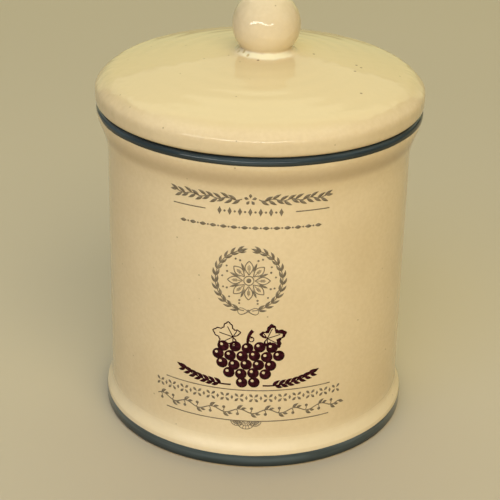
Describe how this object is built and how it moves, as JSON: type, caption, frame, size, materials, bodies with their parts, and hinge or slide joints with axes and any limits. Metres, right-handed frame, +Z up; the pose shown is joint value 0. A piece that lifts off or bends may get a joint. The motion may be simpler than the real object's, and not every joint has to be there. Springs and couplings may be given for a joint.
{
  "type": "lidded stoneware pot of blue cheese",
  "caption": "Shut cream-glazed stoneware pot of soft blue cheese, with a flared rim, blue painted bands and a domed lid with a ball knob.",
  "frame": {"origin": "middle of the flat base, on the surface that the pot stands on", "axes": "+Z up through the knob, -Y towards the printed front, +X to the right as seen from the front"},
  "size_m": [0.0884, 0.0884, 0.1197],
  "materials": {
    "cream_glaze": "glossy cream glaze with fine pinholes",
    "blue_glaze": "glossy hand-painted slate blue band",
    "grey_print": "grey print fired under the glaze",
    "plum_print": "dark plum print fired under the glaze"
  },
  "bodies": {
    "root": {"pot": "cream_glaze", "lid": "cream_glaze"}
  },
  "joints": []
}
